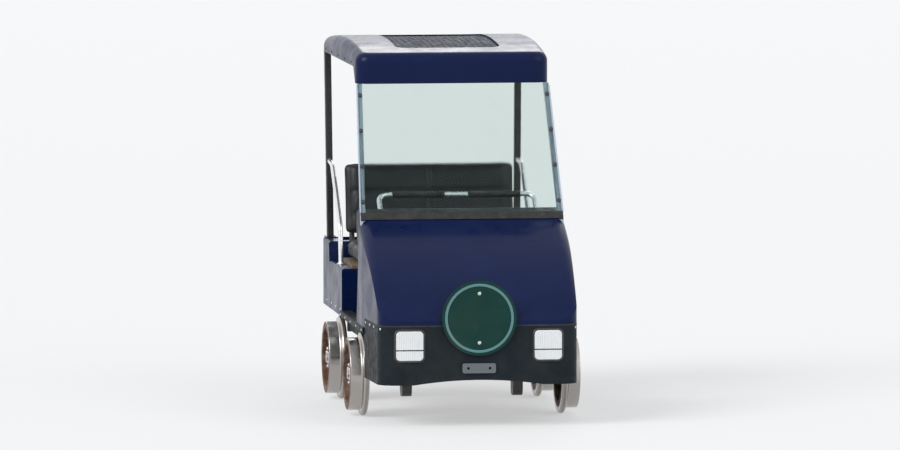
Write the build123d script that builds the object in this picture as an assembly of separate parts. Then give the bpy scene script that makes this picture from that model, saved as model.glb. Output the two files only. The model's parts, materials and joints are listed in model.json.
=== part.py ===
from build123d import *
import os
from math import atan2, degrees, hypot

# Self-drive rail car, an open two-seat light vehicle on four flanged steel wheels.
# Millimetres. The car faces -Y, +X is its left side, +Z is up.
# The origin is on the floor under the middle of the car, level with the lowest points of the flanges.

# Wheels and axles
tread_radius = 185
flange_radius = 213
wheel_back_to_back = 990
tyre_width = 95
flange_width = 28
rim_inner_radius = 150
web_thickness = 14
web_setback = 43
hub_radius = 60
wheel_throat = 6
wheel_edge_radius = 4
web_rim_radius = 8
web_hub_radius = 6
flange_back_radius = 10
flange_front_radius = 12
flange_root_radius = 8
hub_length = 70
hub_setback = 10
web_hole_radius = 20
web_hole_circle = 105
web_hole_count = 6
axle_radius = 25
collar_radius = 36
collar_width = 15
wheelbase = 950
journal_clearance = 0.3
cut_past = 1
collar_gap = 1

# Chassis under the body
rail_spacing = 570
rail_width = 50
rail_height = 80
rail_bottom = 290
tube_wall = 4
cross_width = 60
cross_height = 60
rail_setback = 48
rail_rear = 1100
beam_depth = 40
front_beam_half_width = 278
rear_beam_half_width = 400
pedestal_bottom = 95
pedestal_top_half_width = 70
pedestal_foot_half_width = 48
pedestal_foot_radius = 40
front_cross_y = -1000
floor_cross_y = -250
rear_cross_y = 1050

# Body moulding, front part
body_front = -1205
body_half_width = 530
nose_narrowing = 25
nose_taper_end = -650
front_body_end = 0
body_corner_radius = 90
bumper_wall = 8
bumper_bottom = 215
bumper_top = 515
bumper_rear = -720
bumper_arch_rise = 25
bumper_arch_half_width = 330
cowl_wall = 5
cowl_edge_radius = 55
cowl_run_on = 10
cowl_run_ahead = 0.8
nose_lip_top = 540
hood_mid_setback = 55
hood_mid_z = 866
hood_end_y = -505
hood_end_z = 1004
entry_front_mid_y = -460
entry_front_mid_z = 720
entry_front_low_y = -400

# Lamps, headboard and tow plate on the front
lamp_width = 140
lamp_height = 150
lamp_side_inset = 177
lamp_centre_z = 415
lamp_depth = 38
lamp_proud = 8
lamp_corner_radius = 22
lamp_edge_radius = 5
lamp_split_z = 393
lamp_split_width = 6
lamp_split_depth = 5
seat_gap = 0.3
headboard_radius = 190
headboard_centre_z = 555
headboard_thickness = 6
headboard_ring_outer = 175
headboard_ring_width = 13
headboard_ring_rise = 2
bracket_width = 50
bracket_thickness = 6
bracket_bottom = 385
bracket_top = 725
spacer_size = 40
spacer_depth = 6
spacer_low_z = 412
spacer_high_z = 482
tow_plate_width = 170
tow_plate_height = 50
tow_plate_thickness = 10
tow_plate_corner_radius = 10
tow_plate_centre_z = 300
tow_bolt_radius = 7
tow_bolt_spacing = 110

# Floor, sills and bulkhead
floor_thickness = 25
floor_inset = 60
floor_front = -640
sill_wall = 14
sill_bottom = 437
sill_top = 470
sill_proud = 6
sill_edge_radius = 6
bulkhead_thickness = 6
bulkhead_knee_y = -800
bulkhead_knee_z = 560
dash_bottom_z = 850

# Dash, grab rail and pedals
dash_side_gap = 11
dash_rear_y = -300
dash_brow_y = -345
dash_brow_z = 1046
dash_rear_top_z = 1026
dash_rear_low_z = 905
dash_foot_y = -352
dash_edge_radius = 10
dash_brow_radius = 25
dash_lip_radius = 16
dash_heel_radius = 22
pocket_width = 300
pocket_height = 90
pocket_depth = 110
pocket_spacing = 520
pocket_centre_z = 945
pocket_corner_radius = 18
grab_tube_radius = 12.5
grab_inset = 119
grab_foot_y = -385
grab_rear_y = -255
grab_top_z = 1108
grab_bend_radius = 45
pedal_width = 70
pedal_height = 110
pedal_thickness = 10
pedal_corner_radius = 10
pedal_stem_radius = 7
pedal_stem_length = 45
pedal_rise = 135
driver_centre_x = -260
pedal_spacing = 140

# Windscreen and pillars
screen_base_y = -495
screen_base_z = 1023
screen_side_inset = 10
screen_top_y = -115
screen_narrowing = 26
screen_thickness = 5
screen_corner_radius = 12
pillar_width = 26
pillar_depth = 26
seal_below = 30
seal_above = 10
seal_proud = 6

# Roof moulding
roof_front = -120
roof_rear = 1225
roof_rear_inset = 10
roof_front_narrowing = 25
roof_lip_drop = 192
roof_lip_length = 70
roof_rim_drop = 110
roof_rim_start = 20
roof_front_drop = 39
roof_crown_y = 520
roof_top = 1860
roof_tail_drop = 37
roof_wall = 20
roof_corner_radius = 75
roof_edge_radius = 52
well_depth = 12
roof_well_inset = 250
roof_well_front = 60
roof_well_rear = 1090
roof_well_corner_radius = 60

# Rear body, seat and cargo well
rear_body_front = 300
rear_body_rear = 1190
rear_body_inset = 5
rear_wall = 6
seat_deck_z = 685
seat_deck_rear = 862
cargo_rim_z = 780
cargo_rim_front = 885
rear_corner_radius = 60
rear_edge_radius = 14
rear_deck_radius = 12
hatch_inset = 105
hatch_front = 345
hatch_rear = 800
cargo_inset = 65
cargo_front = 946
rear_tuck_y = 1160
rear_tuck_z = 560
rear_bottom = 437
cargo_floor_z = 560
seat_inset = 70
board_inset = 55
board_thickness = 15
cushion_top_z = 800
cushion_rear = 820
cushion_from_hinge = 20
cushion_edge_radius = 28
hinge_radius = 9
hinge_pin_radius = 5
hinge_forward = 11
hinge_above = 7
hinge_spacing = 600
hinge_length = 50
hinge_end_gap = 0.5
hinge_leaf_height = 40
back_bottom_z = 812
back_top_z = 1200
back_front_y = 830
back_lean = 68
back_thickness = 75
back_edge_radius = 26
back_tube_radius = 14
back_tube_inset = 55
back_tube_top_z = 1150
back_tube_bend = 60

# Struts and hip rails
strut_size = 35
strut_corner_radius = 6
strut_foot_inset = 36
strut_foot_y = 1130
strut_head_inset = 21
strut_head_y = 1165
hip_tube_radius = 12.5
hip_tube_inset = 30
hip_head_z = 1182
hip_elbow_y = 975
hip_elbow_z = 1170
hip_knee_y = 625
hip_knee_z = 880
hip_foot_y = 585
hip_bend_radius = 60

# Machinery and rear fittings
engine_half_width = 150
engine_front = 340
engine_rear = 640
engine_height = 230
engine_chamfer = 12
case_half_width = 90
case_half_length = 160
case_shoulder_z = 235
case_foot_half_length = 70
case_bottom = 140
case_corner_radius = 40
muffler_radius = 50
muffler_half_length = 170
muffler_edge_radius = 14
muffler_y = 830
tail_pipe_radius = 14
tail_pipe_x = -120
tail_pipe_rear = 1085
hitch_half_width = 40
hitch_thickness = 16
hitch_rear = 1225
hitch_pin_radius = 10
tail_lamp_width = 120
tail_lamp_height = 70
tail_lamp_depth = 15
tail_lamp_corner_radius = 15
tail_lamp_edge_radius = 5
tail_lamp_side_inset = 130
tail_lamp_z = 640
body_bracket_spacing = 600
body_bracket_width = 60
body_bracket_top_z = 520
body_bracket_top_length = 30

# Places and widths that follow from the sizes above
rail_front = body_front + rail_setback
hood_mid_y = (body_front + hood_end_y) / 2 + hood_mid_setback
nose_half_width = body_half_width - nose_narrowing
floor_half_width = body_half_width - floor_inset
sill_half_width = body_half_width + sill_proud
dash_half_width = body_half_width - dash_side_gap
grab_half_width = dash_half_width - grab_inset
screen_base_half_width = body_half_width - screen_side_inset
screen_top_half_width = screen_base_half_width - screen_narrowing
lamp_spacing = 2 * (body_half_width - lamp_side_inset)
tail_lamp_spacing = 2 * (body_half_width - tail_lamp_side_inset)
roof_lip_bottom = roof_top - roof_lip_drop
roof_rim_bottom = roof_top - roof_rim_drop
roof_front_z = roof_top - roof_front_drop
roof_tail_z = roof_top - roof_tail_drop
roof_rear_half_width = body_half_width - roof_rear_inset
roof_front_half_width = roof_rear_half_width - roof_front_narrowing
roof_well_half_width = roof_rear_half_width - roof_well_inset
rear_body_half_width = body_half_width - rear_body_inset
hatch_half_width = rear_body_half_width - hatch_inset
cargo_half_width = rear_body_half_width - cargo_inset
seat_half_width = rear_body_half_width - seat_inset
board_half_width = rear_body_half_width - board_inset
back_tube_half_width = seat_half_width - back_tube_inset
strut_foot_x = rear_body_half_width - strut_foot_inset
strut_head_x = roof_rear_half_width - strut_head_inset
hip_tube_x = rear_body_half_width - hip_tube_inset
axle_z = flange_radius
rail_top = rail_bottom + rail_height
cross_bottom = rail_top - cross_height
floor_top = rail_top + floor_thickness
axle_ys = {"front": -wheelbase / 2, "rear": wheelbase / 2}
cross_member_ys = [front_cross_y, floor_cross_y, engine_front, engine_rear, muffler_y, rear_cross_y]
hinge_y = rear_body_front - hinge_forward
hinge_z = seat_deck_z + hinge_above
lid_bottom = seat_deck_z + seat_gap
screen_length = hypot(screen_top_y - screen_base_y, roof_lip_bottom - screen_base_z)

parts = {}


def rounded_outline(corners, arc_through=None):
    """Closed flat outline from rows of (across, up, corner radius), closed by a line or by an arc."""
    points = [(across, up) for across, up, radius in corners]
    if arc_through:
        closing = ThreePointArc(points[-1], arc_through, points[0])
    else:
        closing = Line(points[-1], points[0])
    face = make_face(Polyline(*points) + closing)
    for across, up, radius in corners:
        if radius > 0:
            corner = face.vertices().sort_by_distance((across, up, 0))[0]
            face = fillet(corner, radius)
    return face


def across_car(face, half_width):
    """Side outline drawn as (y, z), made as wide as the car part is."""
    return extrude(Plane.YZ * face, amount=half_width, both=True)


def along_car(face, y_from, y_to):
    """Cross section drawn as (x, z), run from one station to another."""
    return extrude(Plane.XZ.offset(-y_to) * face, amount=y_to - y_from)


def block(x_from, x_to, y_from, y_to, z_from, z_to):
    """Box between two corners."""
    size = (x_to - x_from, y_to - y_from, z_to - z_from)
    centre = ((x_from + x_to) / 2, (y_from + y_to) / 2, (z_from + z_to) / 2)
    return Pos(*centre) * Box(*size)


def tube_block(x_from, x_to, y_from, y_to, z_from, z_to, along):
    """Box-section tube, open at both ends along "x" or "y"."""
    grow_x = tube_wall if along == "x" else -tube_wall
    grow_y = tube_wall if along == "y" else -tube_wall
    outer = block(x_from, x_to, y_from, y_to, z_from, z_to)
    hollow = block(x_from - grow_x, x_to + grow_x, y_from - grow_y, y_to + grow_y,
                   z_from + tube_wall, z_to - tube_wall)
    return outer - hollow


def lying_x(radius, x_from, x_to, y, z):
    """Round bar along X."""
    bar = Cylinder(radius, x_to - x_from, rotation=(0, 90, 0))
    return Pos((x_from + x_to) / 2, y, z) * bar


def lying_y(radius, y_from, y_to, x, z):
    """Round bar along Y."""
    bar = Cylinder(radius, y_to - y_from, rotation=(90, 0, 0))
    return Pos(x, (y_from + y_to) / 2, z) * bar


def bent_tube(points, radius, bend):
    """Round tube along straight runs joined by arcs."""
    path = FilletPolyline(*points, radius=bend)
    end = Plane(origin=path @ 0, z_dir=path % 0)
    return sweep(end * Circle(radius), path=path)


def body_plan(inset, z_from, z_to):
    """Upright prism on the plan of the front body: tapered nose with rounded corners."""
    corner = body_corner_radius - inset
    rows = [(-nose_half_width + inset, body_front + inset, corner),
            (nose_half_width - inset, body_front + inset, corner),
            (body_half_width - inset, nose_taper_end, 0),
            (body_half_width - inset, front_body_end, 0),
            (-body_half_width + inset, front_body_end, 0),
            (-body_half_width + inset, nose_taper_end, 0)]
    return extrude(Pos(0, 0, z_from) * rounded_outline(rows), amount=z_to - z_from)


def wheel_left(y):
    """Flanged wheel: rim with its flange inside, flat web with round holes, long hub."""
    inner = wheel_back_to_back / 2
    outer = inner + tyre_width
    web = inner + web_setback
    hub = inner + hub_setback
    throat = inner + flange_width + wheel_throat
    rows = [(inner, rim_inner_radius, wheel_edge_radius), (inner, flange_radius, flange_back_radius),
            (inner + flange_width, flange_radius, flange_front_radius),
            (throat, tread_radius, flange_root_radius), (outer, tread_radius, wheel_edge_radius),
            (outer, rim_inner_radius, wheel_edge_radius),
            (web + web_thickness, rim_inner_radius, web_rim_radius),
            (web + web_thickness, hub_radius, web_hub_radius),
            (hub + hub_length, hub_radius, wheel_edge_radius), (hub + hub_length, axle_radius, 0),
            (hub, axle_radius, 0), (hub, hub_radius, wheel_edge_radius), (web, hub_radius, web_hub_radius),
            (web, rim_inner_radius, web_rim_radius)]
    wheel = revolve(rounded_outline(rows), axis=Axis.X)
    holes = Sketch() + [place * Circle(web_hole_radius)
                        for place in PolarLocations(web_hole_circle, web_hole_count)]
    wheel -= extrude(Plane.YZ.offset(inner) * holes, amount=tyre_width)
    return Pos(0, y, axle_z) * wheel


def axle(y):
    """Through axle that reaches the outer faces of both hubs, with a collar outside each bearing."""
    hub_end = wheel_back_to_back / 2 + hub_setback + hub_length
    bar = lying_x(axle_radius, -hub_end, hub_end, y, axle_z)
    collar_from = rail_spacing / 2 + rail_width / 2 + collar_gap
    for side in (-1, 1):
        start, end = sorted((side * collar_from, side * (collar_from + collar_width)))
        bar += lying_x(collar_radius, start, end, y, axle_z)
    return bar


def running_gear():
    for end, y in axle_ys.items():
        left = wheel_left(y)
        parts[f"{end}_wheel_left"] = left
        parts[f"{end}_wheel_right"] = mirror(left, about=Plane.YZ)
        parts[f"{end}_axle"] = axle(y)


def chassis():
    inner = rail_spacing / 2 - rail_width / 2
    outer = rail_spacing / 2 + rail_width / 2
    rails = [tube_block(x_from, x_to, rail_front, rail_rear, rail_bottom, rail_top, "y")
             for x_from, x_to in ((inner, outer), (-outer, -inner))]
    parts["chassis_rails"] = Compound(children=rails)
    half_cross = cross_width / 2
    members = [tube_block(-inner, inner, y - half_cross, y + half_cross, cross_bottom, rail_top, "x")
               for y in cross_member_ys]
    parts["chassis_cross_members"] = Compound(children=members)
    front_beam = tube_block(-front_beam_half_width, front_beam_half_width,
                            rail_front - beam_depth, rail_front, rail_bottom, rail_top, "x")
    rear_beam = tube_block(-rear_beam_half_width, rear_beam_half_width,
                           rail_rear, rail_rear + beam_depth, rail_bottom, rail_top, "x")
    parts["end_beams"] = Compound(children=[front_beam, rear_beam])


def pedestals():
    """Plates under the rails that carry the axle bearings."""
    plates = []
    for y in axle_ys.values():
        rows = [(y - pedestal_top_half_width, rail_bottom, 0), (y + pedestal_top_half_width, rail_bottom, 0),
                (y + pedestal_foot_half_width, pedestal_bottom, pedestal_foot_radius),
                (y - pedestal_foot_half_width, pedestal_bottom, pedestal_foot_radius)]
        plate = across_car(rounded_outline(rows), rail_width / 2)
        plate -= lying_x(axle_radius + journal_clearance, -rail_width, rail_width, y, axle_z)
        plates += [Pos(side * rail_spacing / 2, 0, 0) * plate for side in (-1, 1)]
    parts["axle_pedestals"] = Compound(children=plates)


def front_bumper():
    """Wrapped moulding with an arched lower edge and two lamp openings."""
    shell = body_plan(0, bumper_bottom, bumper_top) - body_plan(
        bumper_wall, bumper_bottom - cut_past, bumper_top + cut_past)
    shell -= block(-sill_half_width, sill_half_width, bumper_rear, front_body_end + cut_past,
                   bumper_bottom - cut_past, bumper_top + cut_past)
    arch_line = ThreePointArc((-bumper_arch_half_width, bumper_bottom), (0, bumper_bottom + bumper_arch_rise),
                              (bumper_arch_half_width, bumper_bottom))
    arch = make_face(arch_line + Line(arch_line @ 1, arch_line @ 0))
    shell -= extrude(Plane.XZ * arch, amount=-2 * body_front, both=True)
    for side in (-1, 1):
        shell -= lamp_body(side, seat_gap, lamp_depth)
    parts["front_bumper"] = shell


def lamp_body(side, grow, proud):
    """Rounded lamp block, set back into the bumper."""
    outline = RectangleRounded(lamp_width + 2 * grow, lamp_height + 2 * grow, lamp_corner_radius)
    depth = lamp_depth + proud
    face = Plane.XZ.offset(-body_front + proud) * (Pos(side * lamp_spacing / 2, lamp_centre_z) * outline)
    return extrude(face, amount=-depth)


def headlamps():
    for name, side in (("left", 1), ("right", -1)):
        lamp = lamp_body(side, 0, lamp_proud)
        front = lamp.faces().sort_by(Axis.Y)[0]
        lamp = fillet(front.edges(), lamp_edge_radius)
        face_y = body_front - lamp_proud
        x = side * lamp_spacing / 2
        lamp -= block(x - lamp_width, x + lamp_width, face_y - cut_past, face_y + lamp_split_depth,
                      lamp_split_z - lamp_split_width / 2, lamp_split_z + lamp_split_width / 2)
        parts[f"headlamp_{name}"] = lamp


def headboard():
    """Round board that stands upright before the nose, on a flat bar with two spacers."""
    back = body_front - spacer_depth - bracket_thickness
    face = back - headboard_thickness
    disc = lying_y(headboard_radius, face, back, 0, headboard_centre_z)
    ring = lying_y(headboard_ring_outer, face - headboard_ring_rise, face, 0, headboard_centre_z)
    ring -= lying_y(headboard_ring_outer - headboard_ring_width, face - headboard_ring_rise, face,
                    0, headboard_centre_z)
    parts["headboard_disc"] = disc + ring
    bar = block(-bracket_width / 2, bracket_width / 2, back, back + bracket_thickness,
                bracket_bottom, bracket_top)
    for z in (spacer_low_z, spacer_high_z):
        bar += block(-spacer_size / 2, spacer_size / 2, back + bracket_thickness, body_front,
                     z - spacer_size / 2, z + spacer_size / 2)
    parts["headboard_bracket"] = bar


def tow_plate():
    plate = block(-tow_plate_width / 2, tow_plate_width / 2, body_front - tow_plate_thickness, body_front,
                  tow_plate_centre_z - tow_plate_height / 2, tow_plate_centre_z + tow_plate_height / 2)
    plate = fillet(plate.edges().filter_by(Axis.Y), tow_plate_corner_radius)
    for x in (-tow_bolt_spacing / 2, tow_bolt_spacing / 2):
        plate -= lying_y(tow_bolt_radius, body_front - 2 * tow_plate_thickness, body_front,
                         x, tow_plate_centre_z)
    parts["front_tow_plate"] = plate


def hood_crown(inset, beyond):
    """Arc of the hood from just before the nose to the windscreen, moved in and run on by an angle."""
    crown = ThreePointArc((body_front, nose_lip_top), (hood_mid_y, hood_mid_z), (hood_end_y, hood_end_z))
    centre = crown.arc_center
    nose = degrees(atan2(nose_lip_top - centre.Y, body_front - centre.X))
    end = degrees(atan2(hood_end_z - centre.Y, hood_end_y - centre.X))
    start = nose + cowl_run_ahead
    return CenterArc((centre.X, centre.Y), crown.radius - inset, start, end - start - beyond)


def cowl_block(inset, beyond, lower_edge):
    """Filled cowl, rounded along both edges of the hood. lower_edge runs from windscreen to nose."""
    crown = hood_crown(inset, beyond)
    half_width = body_half_width - inset
    nose_foot = ((crown @ 0).X, lower_edge[-1][1])
    solid = across_car(make_face(crown + Polyline(crown @ 1, *lower_edge, nose_foot, crown @ 0)), half_width)
    edges = [edge for edge in solid.edges().filter_by(GeomType.CIRCLE)
             if abs(abs(edge.center().X) - half_width) < cut_past]
    solid = fillet(edges, cowl_edge_radius - inset)
    return solid & body_plan(inset, 0, roof_top)


def cowl_filled():
    lower_edge = [(entry_front_mid_y, entry_front_mid_z), (entry_front_low_y, sill_top),
                  (bumper_rear, sill_top), (bumper_rear, bumper_top)]
    return cowl_block(0, 0, lower_edge)


def front_cowl():
    """Thin moulding, open below and behind."""
    lower_edge = [(front_body_end, hood_end_z), (front_body_end, sill_top - cowl_wall)]
    parts["front_cowl"] = cowl_filled() - cowl_block(cowl_wall, cowl_run_on, lower_edge) - dash_filled()


def floor_and_sills():
    parts["floor_pan"] = block(-floor_half_width, floor_half_width, floor_front, rear_body_front,
                               rail_top, floor_top)
    rows = [(floor_half_width, rail_top, 0), (floor_half_width + sill_wall, rail_top, 0),
            (floor_half_width + sill_wall, sill_bottom, 0), (sill_half_width, sill_bottom, sill_edge_radius),
            (sill_half_width, sill_top, sill_edge_radius), (floor_half_width, sill_top, sill_edge_radius)]
    sill = along_car(rounded_outline(rows), bumper_rear, rear_body_front)
    parts["side_sill_left"] = sill
    parts["side_sill_right"] = mirror(sill, about=Plane.YZ)


def footwell_bulkhead():
    """Bent plate from the front edge of the floor round the toe space and up to the dash."""
    line = Polyline((floor_front, rail_top), (bulkhead_knee_y, bulkhead_knee_z), (hood_end_y, dash_bottom_z))
    plate = across_car(trace(line, bulkhead_thickness), body_half_width)
    plate = plate & body_plan(bumper_wall + seat_gap, rail_top, roof_top)
    for side in (-1, 1):
        x_from, x_to = sorted((side * floor_half_width, side * 2 * body_half_width))
        plate -= block(x_from, x_to, body_front, rear_body_front, 0, sill_top + seat_gap)
    parts["footwell_bulkhead"] = plate - parts["floor_pan"] - dash_filled()


def dash_filled():
    rows = [(hood_end_y, dash_bottom_z, 0), (hood_end_y, hood_end_z, 0),
            (dash_brow_y, dash_brow_z, dash_brow_radius),
            (dash_rear_y, dash_rear_top_z, dash_lip_radius), (dash_rear_y, dash_rear_low_z, dash_heel_radius),
            (dash_foot_y, dash_bottom_z, dash_lip_radius)]
    return across_car(rounded_outline(rows), dash_half_width)


def dash():
    """Moulded dash with an open pocket before each seat."""
    body = dash_filled()
    for side in (-1, 1):
        body = fillet(body.faces().sort_by(Axis.X)[0 if side < 0 else -1].edges().sort_by(Axis.Z)[-1],
                      dash_edge_radius)
        mouth = Pos(side * pocket_spacing / 2, pocket_centre_z) * RectangleRounded(
            pocket_width, pocket_height, pocket_corner_radius)
        body -= along_car(mouth, dash_rear_y - pocket_depth, dash_rear_y + pocket_depth)
    parts["dash"] = body


def grab_rail():
    path = [(-grab_half_width, grab_foot_y, hood_end_z), (-grab_half_width, grab_rear_y, grab_top_z),
            (grab_half_width, grab_rear_y, grab_top_z), (grab_half_width, grab_foot_y, hood_end_z)]
    parts["grab_rail"] = bent_tube(path, grab_tube_radius, grab_bend_radius) - dash_filled()


def pedals():
    """Two pedal plates on short stems, square to the toe board."""
    run_y, run_z = bulkhead_knee_y - floor_front, bulkhead_knee_z - rail_top
    length = hypot(run_y, run_z)
    foot_y = floor_front + pedal_rise * run_y / length
    foot_z = rail_top + pedal_rise * run_z / length
    pair = []
    for x in (driver_centre_x - pedal_spacing / 2, driver_centre_x + pedal_spacing / 2):
        board = Plane(origin=(x, foot_y, foot_z), x_dir=(1, 0, 0), z_dir=(0, run_z, -run_y))
        reach = bulkhead_thickness / 2 + pedal_stem_length
        stem_middle = (bulkhead_thickness / 2 + reach) / 2
        stem = board * Pos(0, 0, stem_middle) * Cylinder(pedal_stem_radius, pedal_stem_length)
        outline = RectangleRounded(pedal_width, pedal_height, pedal_corner_radius)
        plate = extrude(board.offset(reach) * outline, amount=pedal_thickness)
        pair.append(stem + plate)
    parts["pedals"] = Compound(children=pair)


def roof_outline(inset):
    """Side outline of the roof: front lip, level rim and one long crown arc."""
    front, rear = roof_front + inset, roof_rear - inset
    if inset:
        floor_rows = [(rear, roof_lip_bottom - inset, 0), (front, roof_lip_bottom - inset, 0)]
    else:
        floor_rows = [(rear, roof_rim_bottom, 0), (roof_rim_start, roof_rim_bottom, 0),
                      (roof_front + roof_lip_length, roof_lip_bottom, 0), (front, roof_lip_bottom, 0)]
    rows = [(rear, roof_tail_z - inset, 0), *floor_rows, (front, roof_front_z - inset, 0)]
    return rounded_outline(rows, arc_through=(roof_crown_y, roof_top - inset))


def roof_block(inset):
    """Filled roof on a tapered plan with rounded corners, rounded all round its top."""
    solid = across_car(roof_outline(inset), roof_rear_half_width)
    half_width = roof_rear_half_width - inset
    corner = roof_corner_radius - inset
    front, rear = roof_front + inset, roof_rear - inset
    plan = [(-roof_front_half_width + inset, front, corner), (roof_front_half_width - inset, front, corner),
            (half_width, rear, corner), (-half_width, rear, corner)]
    solid = solid & extrude(rounded_outline(plan), amount=roof_top + roof_wall)
    crown = solid.faces().sort_by(Axis.Z)[-1]
    return fillet(crown.edges(), roof_edge_radius - inset)


def roof():
    """Deep moulding, open below, with a shallow sunken panel on top."""
    outer = roof_block(0)
    shell = outer - roof_block(roof_wall)
    panel = Pos(0, (roof_well_front + roof_well_rear) / 2, roof_rim_bottom) * RectangleRounded(
        2 * roof_well_half_width, roof_well_rear - roof_well_front, roof_well_corner_radius)
    above = extrude(panel, amount=roof_top) - Pos(0, 0, -well_depth) * outer
    parts["roof_shell"] = shell - above


def screen_width_at(up):
    """Half width of the windscreen at a distance up its slope."""
    return screen_base_half_width - (screen_base_half_width - screen_top_half_width) * up / screen_length


def windscreen_and_pillars():
    """Flat leaning sheet, the pillars flat against its back, and the strip that its lower edge stands in."""
    plane = Plane(origin=(0, screen_base_y, screen_base_z), x_dir=(1, 0, 0),
                  z_dir=(0, screen_base_z - roof_lip_bottom, screen_top_y - screen_base_y))
    rows = [(-screen_base_half_width, 0, 0), (screen_base_half_width, 0, 0),
            (screen_top_half_width, screen_length, screen_corner_radius),
            (-screen_top_half_width, screen_length, screen_corner_radius)]
    glass = extrude(plane * rounded_outline(rows), amount=screen_thickness)
    above_lip = block(-body_half_width, body_half_width, body_front, roof_rear, roof_lip_bottom, roof_top)
    glass -= above_lip
    parts["windscreen"] = glass
    low, high = -2 * seal_below, screen_length + pillar_depth
    pillars = []
    for side in (1, -1):
        rows = [(side * screen_width_at(low), low, 0), (side * screen_width_at(high), high, 0),
                (side * (screen_width_at(high) - pillar_width), high, 0),
                (side * (screen_width_at(low) - pillar_width), low, 0)]
        pillar = extrude(plane * rounded_outline(rows[::side]), amount=-pillar_depth)
        pillars.append(pillar - dash_filled() - above_lip - cowl_filled())
    parts["windscreen_pillars"] = Compound(children=pillars)
    strip = plane * Pos(0, (seal_above - seal_below) / 2, screen_thickness / 2) * Box(
        2 * screen_base_half_width, seal_above + seal_below, screen_thickness + 2 * seal_proud)
    for solid in (glass, dash_filled(), cowl_filled(), *pillars):
        strip -= solid
    parts["windscreen_seal"] = strip


def rear_body_block(inset, drop):
    """Filled rear body: seat deck, step up to the cargo rim, back face that tucks in below."""
    front, rear = rear_body_front + inset, rear_body_rear - inset
    rows = [(front, rear_bottom - drop, 0), (front, seat_deck_z - inset, rear_deck_radius - inset),
            (seat_deck_rear + inset, seat_deck_z - inset, 0),
            (cargo_rim_front + inset, cargo_rim_z - inset, 0),
            (rear, cargo_rim_z - inset, rear_deck_radius - inset),
            (rear, rear_tuck_z, rear_corner_radius), (rear_tuck_y - inset, rear_bottom - drop, 0)]
    half_width = rear_body_half_width - inset
    solid = across_car(rounded_outline(rows), half_width)
    corner = rear_corner_radius - inset
    plan = [(-half_width, front, 0), (half_width, front, 0),
            (half_width, rear, corner), (-half_width, rear, corner)]
    rounded = [along_car(deck_section(half_width, top - inset, rear_edge_radius - inset), start, rear)
               for top, start in ((seat_deck_z, front), (cargo_rim_z, seat_deck_rear + inset))]
    return solid & extrude(rounded_outline(plan), amount=roof_top) & (rounded[0] + rounded[1])


def deck_section(half_width, top, edge_radius):
    """Cross section under a level deck with rounded edges."""
    return rounded_outline([(-half_width, 0, 0), (half_width, 0, 0), (half_width, top, edge_radius),
                            (-half_width, top, edge_radius)])


def rear_body():
    """Hollow moulding: hatch under the seat, open cargo well behind it, skirt down to the floor in front."""
    cargo_rear = rear_body_rear - rear_wall
    well_wall = block(-cargo_half_width - rear_wall, cargo_half_width + rear_wall, cargo_front - rear_wall,
                      cargo_rear, cargo_floor_z - rear_wall, cargo_rim_z)
    hollow = rear_body_block(rear_wall, rear_wall) - well_wall
    shell = rear_body_block(0, 0) - hollow
    shell -= block(-cargo_half_width, cargo_half_width, cargo_front, cargo_rear,
                   cargo_floor_z, 2 * cargo_rim_z)
    shell -= block(-hatch_half_width, hatch_half_width, hatch_front, hatch_rear,
                   seat_deck_z - 2 * rear_wall, seat_deck_z + rear_wall)
    shell += block(-floor_half_width, floor_half_width, rear_body_front, rear_body_front + rear_wall,
                   floor_top, rear_bottom)
    shell += block(-floor_half_width, floor_half_width, rear_body_front - rear_wall, rear_body_front,
                   floor_top, floor_top + rear_wall)
    parts["rear_body"] = shell


def seat():
    board_top = lid_bottom + board_thickness
    parts["seat_board"] = block(-board_half_width, board_half_width, rear_body_front, cushion_rear,
                                lid_bottom, board_top)
    cushion = block(-seat_half_width, seat_half_width, hinge_y + cushion_from_hinge, cushion_rear,
                    board_top, cushion_top_z)
    cushion = fillet(cushion.edges().filter_by(Axis.Z), cushion_edge_radius)
    parts["seat_cushion"] = fillet(cushion.faces().sort_by(Axis.Z)[-1].edges(), cushion_edge_radius)
    rows = [(back_front_y, back_bottom_z, 0), (back_front_y + back_lean, back_top_z, 0),
            (back_front_y + back_lean + back_thickness, back_top_z, 0),
            (back_front_y + back_thickness, back_bottom_z, 0)]
    back = across_car(rounded_outline(rows), seat_half_width)
    parts["seat_back"] = fillet(back.edges(), back_edge_radius)


def seat_back_frame():
    """Tube hoop behind the seat back, its feet on the cargo rim."""
    slope = back_lean / (back_top_z - back_bottom_z)
    face_y = back_front_y + back_thickness + back_tube_radius * hypot(1, slope) + seat_gap
    foot_z = cargo_rim_z - back_tube_radius
    foot_y = face_y + slope * (foot_z - back_bottom_z)
    top_y = face_y + slope * (back_tube_top_z - back_bottom_z)
    path = [(-back_tube_half_width, foot_y, foot_z), (-back_tube_half_width, top_y, back_tube_top_z),
            (back_tube_half_width, top_y, back_tube_top_z), (back_tube_half_width, foot_y, foot_z)]
    parts["seat_back_frame"] = bent_tube(path, back_tube_radius, back_tube_bend) - rear_body_block(0, 0)


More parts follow.
